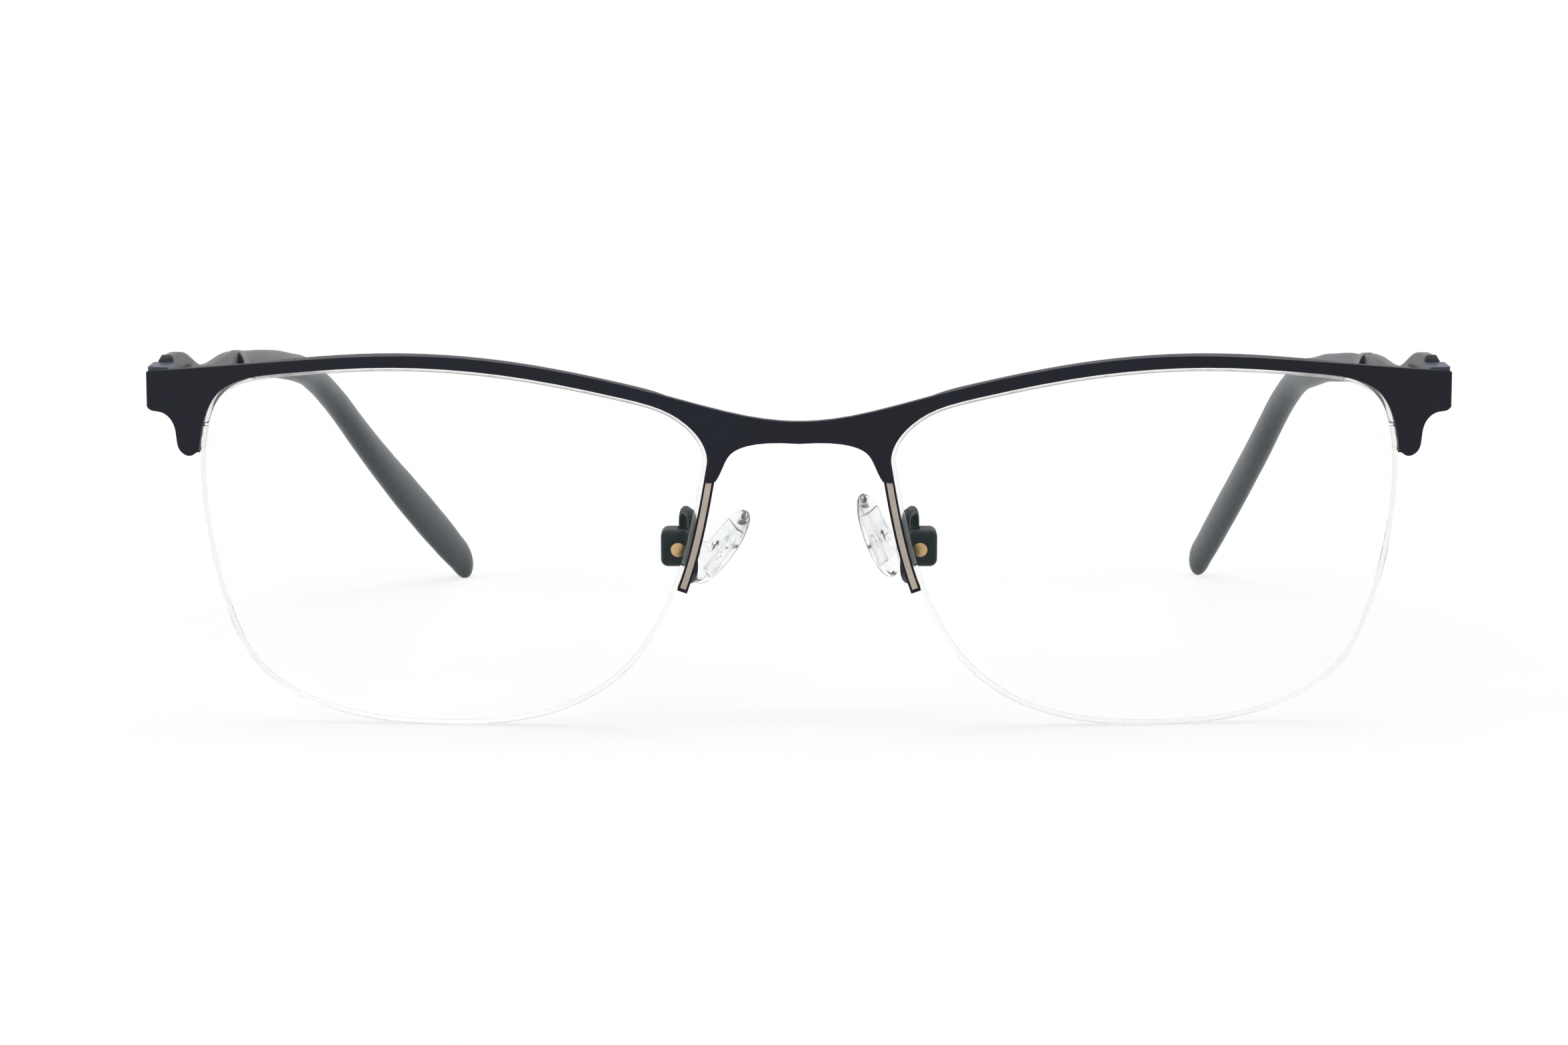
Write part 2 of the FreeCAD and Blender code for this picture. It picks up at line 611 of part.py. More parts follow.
def pad_screw():
    centre = pad_screw_point()
    face = BOX_SIZE.y / 2
    shank = rod(PAD_SCREW_RADIUS, centre + V(0, -face, 0), centre + V(0, face, 0))
    head = rod(PAD_SCREW_HEAD, centre + V(0, -face - 0.35, 0), centre + V(0, -face, 0))
    return one_solid(shank.fuse(head))


def bent_wire(points, radius, bend):
    """Round wire along straight runs joined by arcs."""
    pieces = []
    last = points[0]
    for before, corner, after in zip(points, points[1:], points[2:]):
        back, ahead = (before - corner).normalize(), (after - corner).normalize()
        half_turn = (math.pi - back.getAngle(ahead)) / 2
        trim = bend * math.tan(half_turn)
        start = corner + back * trim
        middle = corner + (back + ahead).normalize() * (bend / math.cos(half_turn))
        pieces.append(rod(radius, last, start))
        section = Part.Face(Part.Wire(Part.makeCircle(radius, start, -back)))
        pieces.append(section.revolve(middle, ahead.cross(back), math.degrees(2 * half_turn)))
        last = corner + ahead * trim
    pieces.append(rod(radius, last, points[-1]))
    return pieces[0].fuse(pieces[1:])


def nasal_edge(height):
    """Where the nasal side of the lens outline passes a height."""
    level = Part.makeLine(V(INNER_EDGE - 5, 0, height), V(LENS_CENTRE_X, 0, height))
    return level.distToShape(LENS_CURVE.toShape())[1][0][0].x


def pad_arm():
    """Wire from the back of the nasal bar, over and down onto the top of the pad's box."""
    root_height = BAR_END + 1.0
    root = V(nasal_edge(root_height) - 0.6 * RAIL_WIDTH, RAIL_DEPTH - 0.35, root_height)
    cheek = (BOX_SLOT + BOX_SIZE.y) / 4
    seat = pad_screw_point() + V(-WIRE_RADIUS, cheek, BOX_SIZE.z / 2)
    route = [
        root, root + V(-0.7, 2.4, -0.3), V(seat.x - 1.1, RAIL_DEPTH + 4.3, seat.z + ARCH_HEIGHT),
        seat + V(0, 0, ARCH_HEIGHT), seat - V(0, 0, BOX_ROUND),
    ]
    wire = bent_wire(route, WIRE_RADIUS, WIRE_BEND)
    return one_solid(wire.cut(rim_rail()).cut(pad_box()))


# ---------------------------------------------------------------- assembly
def side_parts(side):
    slope = standing_slope(side)
    frames = spine(side, slope)
    return {
        "lens": lens(), "rim_rail": rim_rail(), "rim_trim": rim_trim(), "rim_liner": rim_liner(),
        "nylon_cord": nylon_cord(), "hinge_block": hinge_block(), "hinge_screw": hinge_screw(),
        "pad_arm": pad_arm(), "pad_box": pad_box(), "pad_screw": pad_screw(),
        "pad_core": pad_core(side), "nose_pad": nose_pad(side),
        "temple_knuckle": temple_knuckle(side), "temple_arm": temple_arm(side, slope),
        "tip_collar": tip_collar(frames), "temple_core": temple_core(frames),
        "temple_tip": temple_tip(frames),
    }


def whole_model():
    parts = {"front_plate": front_plate()}
    for name, side in SIDES.items():
        for piece, shape in side_parts(side).items():
            if side["mirror"]:
                shape = shape.mirror(V(0, 0, 0), X_AXIS)
            parts[piece + "_" + name] = shape
    return parts


def stand_up(parts):
    """Lean the model to its tilt and put the origin under the middle of its box."""
    limits = FreeCAD.BoundBox()
    for shape in parts.values():
        shape.rotate(V(0, 0, 0), X_AXIS, FRONT_TILT)
        limits.add(shape.optimalBoundingBox(False, False))
    shift = V(-limits.Center.x, -limits.Center.y, -limits.ZMin)
    for shape in parts.values():
        shape.translate(shift)
    print("box", round(limits.XLength, 2), round(limits.YLength, 2), round(limits.ZLength, 2))
    return shift


def report_axes(shift):
    lean = FreeCAD.Rotation(X_AXIS, FRONT_TILT)
    for name, side in SIDES.items():
        for label, point in [("hinge", hinge_point(HINGE_Z)), ("pad screw", pad_screw_point())]:
            local = V(-point.x if side["mirror"] else point.x, point.y, point.z)
            there = lean.multVec(local) + shift
            print(name, label, [round(value, 3) for value in there])
    print("hinge axis", [round(value, 5) for value in lean.multVec(Z_AXIS)])
    print("pad axis", [round(value, 5) for value in lean.multVec(Y_AXIS)])


def main():
    os.makedirs("parts", exist_ok=True)
    parts = whole_model()
    report_axes(stand_up(parts))
    for name, shape in parts.items():
        shape.exportStep("parts/" + name + ".step")
        print(name, len(shape.Solids), round(shape.Volume, 2), shape.isValid())


main()
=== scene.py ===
# %% [markdown]
# # Semi-rimless glasses
# A pair of glasses standing open on a white table. A stamped steel front carries two clear lenses that
# hang on nylon cord, two silicone pads rock on small brass screws, and the temples end in matte plastic
# tips. The shapes that have to fit come from the CAD frame. This script gives them their finish and adds
# the soft and rounded pieces. The first cell loads the frame and keeps its box.

# %% Load the frame
import json
import math

import bmesh
import bpy
from mathutils import Matrix, Vector


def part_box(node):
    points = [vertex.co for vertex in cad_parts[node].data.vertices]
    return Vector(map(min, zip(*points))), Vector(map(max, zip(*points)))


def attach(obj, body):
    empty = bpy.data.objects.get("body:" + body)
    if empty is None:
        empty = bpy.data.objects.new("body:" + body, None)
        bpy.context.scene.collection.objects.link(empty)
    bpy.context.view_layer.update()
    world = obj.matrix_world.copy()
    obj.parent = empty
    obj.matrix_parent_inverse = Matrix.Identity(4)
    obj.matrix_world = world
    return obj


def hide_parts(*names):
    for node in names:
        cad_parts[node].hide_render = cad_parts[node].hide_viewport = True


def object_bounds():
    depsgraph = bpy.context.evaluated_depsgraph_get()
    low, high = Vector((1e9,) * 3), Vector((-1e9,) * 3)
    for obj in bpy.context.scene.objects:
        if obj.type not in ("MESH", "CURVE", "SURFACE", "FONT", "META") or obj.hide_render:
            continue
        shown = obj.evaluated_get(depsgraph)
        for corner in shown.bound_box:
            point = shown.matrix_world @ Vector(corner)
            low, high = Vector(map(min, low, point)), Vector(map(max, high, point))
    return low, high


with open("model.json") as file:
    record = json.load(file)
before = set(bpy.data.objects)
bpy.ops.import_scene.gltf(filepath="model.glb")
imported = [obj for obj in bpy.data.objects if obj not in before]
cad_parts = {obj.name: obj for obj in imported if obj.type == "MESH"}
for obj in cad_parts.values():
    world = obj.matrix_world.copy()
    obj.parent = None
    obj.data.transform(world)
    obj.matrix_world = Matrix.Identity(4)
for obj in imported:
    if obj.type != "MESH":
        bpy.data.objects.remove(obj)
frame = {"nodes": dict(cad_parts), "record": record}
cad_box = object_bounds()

MM = 0.001
nodes = frame["nodes"]
SIDES = ("right", "left")

# %% [markdown]
# The camera looks at the front from arm's length, a little from above, with a long lens. That keeps the
# two lenses nearly flat in the view and lets the temple tips show through them. It is aimed by a pitch
# angle only, so upright lines stay upright.

# %% Camera
VIEW_DISTANCE = 0.350
VIEW_HEIGHT = 0.0599
VIEW_PITCH = 6.15
FOCAL_LENGTH = 76.9
SIDE_STEP = -0.0001
FRONT_SETBACK = 0.0019       # from the front of the box to the plane that the distance is taken from
SIDE_SHIFT = -0.009

camera_data = bpy.data.cameras.new("camera")
camera_data.lens = FOCAL_LENGTH
camera_data.sensor_width = 36.0
camera_data.shift_x = SIDE_SHIFT
camera = bpy.data.objects.new("camera", camera_data)
camera.location = (SIDE_STEP, cad_box[0][1] + FRONT_SETBACK - VIEW_DISTANCE, VIEW_HEIGHT)
camera.rotation_euler = (math.radians(90 - VIEW_PITCH), 0, 0)
scene = bpy.context.scene
scene.collection.objects.link(camera)
scene.camera = camera
print("camera at", [round(value, 4) for value in camera.location])

# %% [markdown]
# Every material below is a small graph of nodes. Three helpers keep the graphs short to read: one adds a
# node with its settings, one feeds a socket with either a number or another socket, and one makes a Math
# node.

# %% Node helpers


def add(tree, kind, **settings):
    node = tree.nodes.new(kind)
    for key, value in settings.items():
        setattr(node, key, value)
    return node


def feed(tree, socket, value):
    if isinstance(value, bpy.types.NodeSocket):
        tree.links.new(value, socket)
    else:
        socket.default_value = value


def calc(tree, operation, first, second, clamp=False):
    node = add(tree, "ShaderNodeMath", operation=operation, use_clamp=clamp)
    feed(tree, node.inputs[0], first)
    feed(tree, node.inputs[1], second)
    return node.outputs[0]


def blend_colors(tree, share, first, second):
    node = add(tree, "ShaderNodeMix", data_type="RGBA")
    feed(tree, node.inputs[0], share)
    feed(tree, node.inputs[6], first)
    feed(tree, node.inputs[7], second)
    return node.outputs[2]


def any_seen_ray(tree):
    """1 for rays from the camera, from a mirror-like surface or through glass."""
    path = add(tree, "ShaderNodeLightPath")
    seen = calc(tree, "MAXIMUM", path.outputs["Is Camera Ray"], path.outputs["Is Glossy Ray"])
    return calc(tree, "MAXIMUM", seen, path.outputs["Is Transmission Ray"])


print("node helpers ready")

# %% [markdown]
# Thin metal and clear plastic look best in a white room, where they reflect long even areas. Soft boxes
# hang above, at both sides and in front, the left one a little stronger so that the flat front isn't lit
# evenly. The world gives the fill light. What the camera, the metal and the glass see of it is plain
# white.

# %% World and lamps
scene.view_settings.view_transform = "Standard"
FILL_LIGHT = 0.55
LAMP_TARGET = Vector((0, 0, 0.02))

world = bpy.data.worlds.new("white room")
scene.world = world
world.use_nodes = True
tree = world.node_tree
tree.nodes.clear()
fill = add(tree, "ShaderNodeBackground")
fill.inputs["Strength"].default_value = FILL_LIGHT
white = add(tree, "ShaderNodeBackground")
white.inputs["Color"].default_value = (1, 1, 1, 1)
mix = add(tree, "ShaderNodeMixShader")
tree.links.new(any_seen_ray(tree), mix.inputs[0])
tree.links.new(fill.outputs[0], mix.inputs[1])
tree.links.new(white.outputs[0], mix.inputs[2])
tree.links.new(mix.outputs[0], add(tree, "ShaderNodeOutputWorld").inputs[0])


def soft_box(name, place, width, height, power):
    data = bpy.data.lights.new(name, "AREA")
    data.shape = "RECTANGLE"
    data.size = width
    data.size_y = height
    data.energy = power
    lamp = bpy.data.objects.new(name, data)
    lamp.location = place
    aim = LAMP_TARGET - Vector(place)
    lamp.rotation_euler = aim.to_track_quat("-Z", "Y").to_euler()
    scene.collection.objects.link(lamp)


soft_box("top light", (0, 0.05, 0.7), 0.8, 0.6, 3.0)
soft_box("left light", (-0.7, -0.25, 0.35), 0.4, 0.5, 1.4)
soft_box("right light", (0.7, -0.25, 0.35), 0.4, 0.5, 0.8)
soft_box("front light", (-0.25, -0.9, 0.5), 0.6, 0.4, 1.5)

# %% [markdown]
# The table is white paper. A lit white surface is never quite white in a render, so most of what the
# camera sees of it is plain white, and a share of real paper is mixed in near the glasses to keep their
# soft shadows. The share fades with the distance from the glasses, so the table runs into the white room
# with no edge.

# %% Table
PAPER_SHARE = 0.45
FADE_START = 0.04
FADE_END = 0.13
HALF_TABLE = 3.0


def paper_material():
    material = bpy.data.materials.new("white paper")
    material.use_nodes = True
    tree = material.node_tree
    paper = tree.nodes["Principled BSDF"]
    paper.inputs["Roughness"].default_value = 0.9
    paper.inputs["Specular IOR Level"].default_value = 0.0
    fibres = add(tree, "ShaderNodeTexNoise")
    fibres.inputs["Scale"].default_value = 900.0
    tone = blend_colors(tree, fibres.outputs["Fac"], (0.93, 0.93, 0.93, 1), (0.97, 0.97, 0.97, 1))
    tree.links.new(tone, paper.inputs["Base Color"])
    glow = add(tree, "ShaderNodeEmission")
    spot = add(tree, "ShaderNodeTexCoord").outputs["Object"]
    far = add(tree, "ShaderNodeVectorMath", operation="LENGTH")
    tree.links.new(spot, far.inputs[0])
    fade = add(tree, "ShaderNodeMapRange", interpolation_type="SMOOTHSTEP")
    tree.links.new(far.outputs["Value"], fade.inputs["Value"])
    fade.inputs["From Min"].default_value = FADE_START
    fade.inputs["From Max"].default_value = FADE_END
    fade.inputs["To Min"].default_value = PAPER_SHARE
    fade.inputs["To Max"].default_value = 0.0
    shown = add(tree, "ShaderNodeMixShader")
    tree.links.new(fade.outputs[0], shown.inputs[0])
    tree.links.new(glow.outputs[0], shown.inputs[1])
    tree.links.new(paper.outputs[0], shown.inputs[2])
    pick = add(tree, "ShaderNodeMixShader")
    tree.links.new(any_seen_ray(tree), pick.inputs[0])
    tree.links.new(paper.outputs[0], pick.inputs[1])
    tree.links.new(shown.outputs[0], pick.inputs[2])
    tree.links.new(pick.outputs[0], tree.nodes["Material Output"].inputs[0])
    return material


corners = [(x * HALF_TABLE, y * HALF_TABLE, 0) for x, y in ((-1, -1), (1, -1), (1, 1), (-1, 1))]
table_mesh = bpy.data.meshes.new("table")
table_mesh.from_pydata(corners, [], [(0, 1, 2, 3)])
table_mesh.materials.append(paper_material())
table = bpy.data.objects.new("table", table_mesh)
scene.collection.objects.link(table)
print("table", 2 * HALF_TABLE, "m wide")

# %% [markdown]
# Several finishes share the same small effects: a slow drift of tone, a fine skin, a painted highlight on
# edges, dust and brushed lines. Each one is a node group with named inputs, built once here. Groups give
# out only colours, masks and heights, and each material decides what it does with them.

# %% Node groups
FLOAT, COLOR, VECTOR = "NodeSocketFloat", "NodeSocketColor", "NodeSocketVector"


def new_group(name, inputs, outputs):
    group = bpy.data.node_groups.new(name, "ShaderNodeTree")
    for title, kind, value in inputs:
        group.interface.new_socket(name=title, in_out="INPUT", socket_type=kind).default_value = value
    for title, kind in outputs:
        group.interface.new_socket(name=title, in_out="OUTPUT", socket_type=kind)
    return group, add(group, "NodeGroupInput").outputs, add(group, "NodeGroupOutput").inputs


def noise(tree, spot, scale, detail=3.0):
    node = add(tree, "ShaderNodeTexNoise")
    tree.links.new(spot, node.inputs["Vector"])
    feed(tree, node.inputs["Scale"], scale)
    node.inputs["Detail"].default_value = detail
    return node.outputs["Fac"]


def object_spot(tree):
    return add(tree, "ShaderNodeTexCoord").outputs["Object"]


DRIFT_CONTRAST = 2.6
DRIFT_OFFSET = -0.8
QUICK_NOISE = 7.0            # the roughness changes this many times faster than the colour


def film_drift():
    """Paint is never one tone: a slow cloud drifts its colour, and a quicker one its roughness."""
    group, given, out = new_group(
        "Film Drift",
        [("Color", COLOR, (1, 1, 1, 1)), ("Drift Color", COLOR, (0, 0, 0, 1)), ("Scale", FLOAT, 100.0),
         ("Share", FLOAT, 0.5), ("Roughness", FLOAT, 0.5), ("Spread", FLOAT, 0.1)],
        [("Color", COLOR), ("Roughness", FLOAT)])
    spot = object_spot(group)
    slow = calc(group, "MULTIPLY_ADD", noise(group, spot, given["Scale"]), DRIFT_CONTRAST)
    slow.node.inputs[2].default_value = DRIFT_OFFSET
    slow.node.use_clamp = True
    share = calc(group, "MULTIPLY", slow, given["Share"])
    group.links.new(blend_colors(group, share, given["Color"], given["Drift Color"]), out["Color"])
    quick = noise(group, spot, calc(group, "MULTIPLY", given["Scale"], QUICK_NOISE), 4.0)
    swing = calc(group, "MULTIPLY", calc(group, "SUBTRACT", quick, 0.5), given["Spread"])
    group.links.new(calc(group, "ADD", given["Roughness"], swing, True), out["Roughness"])
    return group


def fine_skin():
    """The faint orange peel of paint, or the grain that a mould leaves on plastic."""
    group, given, out = new_group("Fine Skin", [("Scale", FLOAT, 3000.0)], [("Height", FLOAT)])
    spot = object_spot(group)
    cells = add(group, "ShaderNodeTexVoronoi", feature="SMOOTH_F1")
    group.links.new(spot, cells.inputs["Vector"])
    group.links.new(given["Scale"], cells.inputs["Scale"])
    cloud = noise(group, spot, calc(group, "MULTIPLY", given["Scale"], 0.6), 4.0)
    height = calc(group, "ADD", calc(group, "MULTIPLY", cells.outputs["Distance"], 0.5), cloud)
    group.links.new(height, out["Height"])
    return group


HIGHLIGHT_NOISE_SCALE = 900.0


def edge_highlight():
    """1 on sharp edges, where a lighter colour paints their highlight: there the rounded normal leaves the
    face's own normal.
    """
    group, given, out = new_group(
        "Edge Wear", [("Radius", FLOAT, 0.1 * MM), ("Gain", FLOAT, 3.0)], [("Mask", FLOAT)])
    rounded = add(group, "ShaderNodeBevel", samples=6)
    group.links.new(given["Radius"], rounded.inputs["Radius"])
    facing = add(group, "ShaderNodeVectorMath", operation="DOT_PRODUCT")
    group.links.new(rounded.outputs[0], facing.inputs[0])
    group.links.new(add(group, "ShaderNodeNewGeometry").outputs["Normal"], facing.inputs[1])
    gap = calc(group, "SUBTRACT", 1.0, facing.outputs["Value"], True)
    highlight_noise = noise(group, object_spot(group), HIGHLIGHT_NOISE_SCALE)
    patchy = calc(group, "MULTIPLY", calc(group, "MULTIPLY", gap, given["Gain"]), highlight_noise, True)
    group.links.new(patchy, out["Mask"])
    return group


def dust_specks():
    """Small round specks: one in a share of the cells of a cell pattern, each of its own size."""
    group, given, out = new_group(
        "Dust Specks",
        [("Scale", FLOAT, 600.0), ("Share", FLOAT, 0.1), ("Size", FLOAT, 0.1)],
        [("Mask", FLOAT)])
    cells = add(group, "ShaderNodeTexVoronoi")
    group.links.new(object_spot(group), cells.inputs["Vector"])
    group.links.new(given["Scale"], cells.inputs["Scale"])
    parts = add(group, "ShaderNodeSeparateColor")
    group.links.new(cells.outputs["Color"], parts.inputs[0])
    chosen = calc(group, "LESS_THAN", parts.outputs[0], given["Share"])
    size = calc(group, "MULTIPLY", given["Size"], calc(group, "ADD", parts.outputs[1], 0.3))
    inside = calc(group, "LESS_THAN", cells.outputs["Distance"], size)
    group.links.new(calc(group, "MULTIPLY", chosen, inside), out["Mask"])
    return group


def brushed_lines():
    """Noise stretched along one direction, as an abrasive belt leaves it on metal."""
    group, given, out = new_group(
        "Brushed Lines", [("Stretch", VECTOR, (1, 1, 1)), ("Scale", FLOAT, 1000.0)], [("Value", FLOAT)])
    spot = add(group, "ShaderNodeVectorMath", operation="MULTIPLY")
    group.links.new(object_spot(group), spot.inputs[0])
    group.links.new(given["Stretch"], spot.inputs[1])
    group.links.new(noise(group, spot.outputs[0], given["Scale"], 5.0), out["Value"])
    return group


GROUPS = {group.name: group for group in
          (film_drift(), fine_skin(), edge_highlight(), dust_specks(), brushed_lines())}
print("groups:", ", ".join(GROUPS))

# %% [markdown]
# A material starts as Blender's Principled shader with its constant values set on its own sockets. Two
# more helpers place a group with its values and turn a height into a bump. Distances are in metres: a few
# thousandths of a millimetre is what paint and moulded plastic really have.

# %% Material helpers


def new_material(name, **constants):
    material = bpy.data.materials.new(name)
    material.use_nodes = True
    tree = material.node_tree
    shader = tree.nodes["Principled BSDF"]
    for key, value in constants.items():
        shader.inputs[key.replace("_", " ")].default_value = value
    return material, tree, shader


def place(tree, group, **values):
    node = add(tree, "ShaderNodeGroup", node_tree=GROUPS[group])
    for key, value in values.items():
        feed(tree, node.inputs[key.replace("_", " ")], value)
    return node.outputs


def bump(tree, shader, height, depth, strength):
    node = add(tree, "ShaderNodeBump")
    node.inputs["Strength"].default_value = strength
    node.inputs["Distance"].default_value = depth
    tree.links.new(height, node.inputs["Height"])
    tree.links.new(node.outputs[0], shader.inputs["Normal"])


print("material helpers ready")

# %% [markdown]
# The front, rims, pad arms and pad boxes are steel under a thin matte lacquer, a navy that is nearly
# black. The hinge parts are a shade of slate, and the temples a warm gunmetal. The three differ only in
# numbers, so one function makes them all: drifting film, fine skin, and a painted highlight, a lighter
# colour on the edges for the light that they catch.

# %% Lacquers


def lacquer(name, film, drift, highlight_tone, rough, level, highlight_radius=0.12 * MM):
    material, tree, shader = new_material(name, Specular_IOR_Level=level)
    tone = place(tree, "Film Drift", Color=(*film, 1), Drift_Color=(*drift, 1), Scale=110.0, Share=0.8,
                 Roughness=rough, Spread=0.14)
    # painted highlight: sharp edges are mixed towards a lighter tone, made patchy by noise, for the light
    # that edges catch
    highlight_mask = place(tree, "Edge Wear", Radius=highlight_radius, Gain=2.2)["Mask"]
    dust = place(tree, "Dust Specks", Scale=420.0, Share=0.05, Size=0.035)["Mask"]
    color = blend_colors(tree, highlight_mask, tone["Color"], (*highlight_tone, 1))
    color = blend_colors(tree, calc(tree, "MULTIPLY", dust, 0.35), color, (0.5, 0.5, 0.5, 1))
    tree.links.new(color, shader.inputs["Base Color"])
    tree.links.new(tone["Roughness"], shader.inputs["Roughness"])
    bump(tree, shader, place(tree, "Fine Skin", Scale=5200.0)["Height"], 0.006 * MM, 0.6)
    return material


MATERIALS = {
    "front_lacquer": lacquer("front lacquer", (0.0085, 0.0100, 0.0175), (0.0065, 0.0085, 0.0130),
                             (0.045, 0.055, 0.080), 0.46, 0.17),
    "hinge_lacquer": lacquer("hinge lacquer", (0.040, 0.050, 0.082), (0.028, 0.036, 0.062),
                             (0.13, 0.15, 0.20), 0.42, 0.45, 0.2 * MM),
    "temple_lacquer": lacquer("temple lacquer", (0.042, 0.038, 0.040), (0.028, 0.026, 0.030),
                              (0.20, 0.19, 0.18), 0.40, 0.5, 0.2 * MM),
    # painted shade: the collar's near-black colour stands for the shade on the front end of the tip
    "collar": lacquer("collar lacquer", (0.0075, 0.0075, 0.0085), (0.005, 0.005, 0.006),
                      (0.04, 0.04, 0.045), 0.30, 0.4),
}
print("lacquers:", ", ".join(MATERIALS))

# %% [markdown]
# The nasal bars carry a strip where the metal is left bare, a soft champagne colour brushed along its
# length. The screws are turned brass and steel: their brushed lines run round the head, which a fine
# noise stretched flat stands for at this size. The hinge screws are blackened steel. Bare metal has a
# metallic share of one, and its colour is the colour it reflects.

# %% Bare metals


def bare_metal(name, color, dark, rough, stretch, scale):
    material, tree, shader = new_material(name, Metallic=1.0)
    lines = place(tree, "Brushed Lines", Stretch=stretch, Scale=scale)["Value"]
    tone = place(tree, "Film Drift", Color=(*color, 1), Drift_Color=(*dark, 1), Scale=260.0, Share=0.45,
                 Roughness=rough, Spread=0.16)
    streaks = calc(tree, "MULTIPLY", lines, 0.35)
    tree.links.new(blend_colors(tree, streaks, tone["Color"], (*dark, 1)), shader.inputs["Base Color"])
    tree.links.new(tone["Roughness"], shader.inputs["Roughness"])
    bump(tree, shader, lines, 0.004 * MM, 0.5)
    return material


MATERIALS["bare_trim"] = bare_metal(
    "bare trim", (0.50, 0.43, 0.37), (0.30, 0.26, 0.22), 0.34, (1.0, 1.0, 0.06), 9000.0)
MATERIALS["screw_brass"] = bare_metal(
    "screw brass", (0.72, 0.50, 0.25), (0.36, 0.22, 0.10), 0.24, (1.0, 1.0, 8.0), 2400.0)
MATERIALS["screw_steel"] = bare_metal(
    "screw steel", (0.22, 0.22, 0.23), (0.10, 0.10, 0.11), 0.34, (1.0, 1.0, 8.0), 2400.0)
MATERIALS["core_steel"] = bare_metal(
    "core steel", (0.50, 0.50, 0.50), (0.32, 0.32, 0.33), 0.35, (1.0, 0.06, 1.0), 5000.0)
print("materials so far:", len(MATERIALS))

# %% [markdown]
# The tips are soft-touch plastic. It has a fine moulded grain, a broad blue-grey drift, a pale bloom
# where it is seen at a low angle, and it catches dust, so it carries more and brighter specks than the
# metal. The bloom is the shader's sheen, which is made for exactly that.

# %% Tip plastic
COOL_SCALE = 160.0
COOL_SHARE = 0.45


def tip_material():
    material, tree, shader = new_material(
        "tip plastic", Specular_IOR_Level=0.38, Sheen_Weight=0.35, Sheen_Roughness=0.35)
    tone = place(tree, "Film Drift", Color=(0.022, 0.026, 0.036, 1), Drift_Color=(0.034, 0.034, 0.040, 1),
                 Scale=75.0, Share=0.9, Roughness=0.58, Spread=0.12)
    cool = noise(tree, object_spot(tree), COOL_SCALE, 2.0)
    cool = calc(tree, "MULTIPLY", cool, COOL_SHARE)
    color = blend_colors(tree, cool, tone["Color"], (0.016, 0.024, 0.040, 1))
    large = place(tree, "Dust Specks", Scale=330.0, Share=0.16, Size=0.045)["Mask"]
    small = place(tree, "Dust Specks", Scale=900.0, Share=0.10, Size=0.07)["Mask"]
    color = blend_colors(tree, calc(tree, "MULTIPLY", small, 0.30), color, (0.45, 0.48, 0.50, 1))
    color = blend_colors(tree, calc(tree, "MULTIPLY", large, 0.85), color, (0.75, 0.78, 0.80, 1))
    tree.links.new(color, shader.inputs["Base Color"])
    tree.links.new(tone["Roughness"], shader.inputs["Roughness"])
    bump(tree, shader, place(tree, "Fine Skin", Scale=6500.0)["Height"], 0.010 * MM, 0.7)
    return material


MATERIALS["tip_plastic"] = tip_material()
print("tip plastic ready")

# %% [markdown]
# Clear pieces differ in how they bend light and how clean they are. The lens is polished and coated, so
# it has no roughness and reflects a trace of green. Nylon is a little cloudy. Silicone is soft and shows
# a faint haze and fine skin. Clear plastic lies between. Their roughness drifts slightly, as smears do on
# the real ones.

# %% Clear materials


def clear(name, tint, rough, spread, index, skin_depth=0.0, **more):
    material, tree, shader = new_material(name, IOR=index, Transmission_Weight=1.0, **more)
    tone = place(tree, "Film Drift", Color=(*tint, 1), Drift_Color=(0.99, 0.99, 0.99, 1),
                 Scale=90.0, Share=0.5, Roughness=rough, Spread=spread)
    tree.links.new(tone["Color"], shader.inputs["Base Color"])
    tree.links.new(tone["Roughness"], shader.inputs["Roughness"])
    if skin_depth:
        bump(tree, shader, place(tree, "Fine Skin", Scale=1500.0)["Height"], skin_depth, 0.5)
    return material


MATERIALS["lens"] = clear(
    "coated lens", (0.995, 1.0, 0.998), 0.0, 0.0, 1.50, Specular_Tint=(0.12, 0.20, 0.16, 1))
MATERIALS["clear_nylon"] = clear("clear nylon", (0.97, 0.97, 0.96), 0.12, 0.10, 1.53)
MATERIALS["pad_silicone"] = clear("clear silicone", (0.965, 0.975, 0.98), 0.10, 0.10, 1.41, 0.004 * MM)
MATERIALS["pad_insert"] = clear("clear insert", (0.94, 0.95, 0.96), 0.05, 0.06, 1.49)
print("materials:", len(MATERIALS))

# %% [markdown]
# The record says which finish each CAD node has. Its slot names are the keys of the materials made above,
# so handing them out is one loop.

# %% Hand out the finishes
for name, node in nodes.items():
    slot_name = node.data.materials[0].name.split(".")[0]
    node.data.materials.clear()
    node.data.materials.append(MATERIALS[slot_name])
print("finished", len(nodes), "nodes")

# %% [markdown]
# A real temple isn't one even bar. It is slim behind the front, where it runs close along the head, and
# it spreads into a flat paddle behind the ear. The CAD draws the middle too tall, so this step corrects
# how it looks. A lattice does that without touching a mesh: it is a cage with a row of points every few
# millimetres, and each row is raised and scaled about the temple's own middle there. The arm, its collar,
# the steel core and the tip share one cage, so they stay fitted together. The better way is to correct
# the CAD: the collision shapes and the STEP files don't follow a lattice and keep the tall middle. Each
# entry below is a distance behind the hinge and a lift, both in millimetres, then the share that is kept
# of the height and of the thickness. The two paddles differ a little, so each side has its own entries
# there.

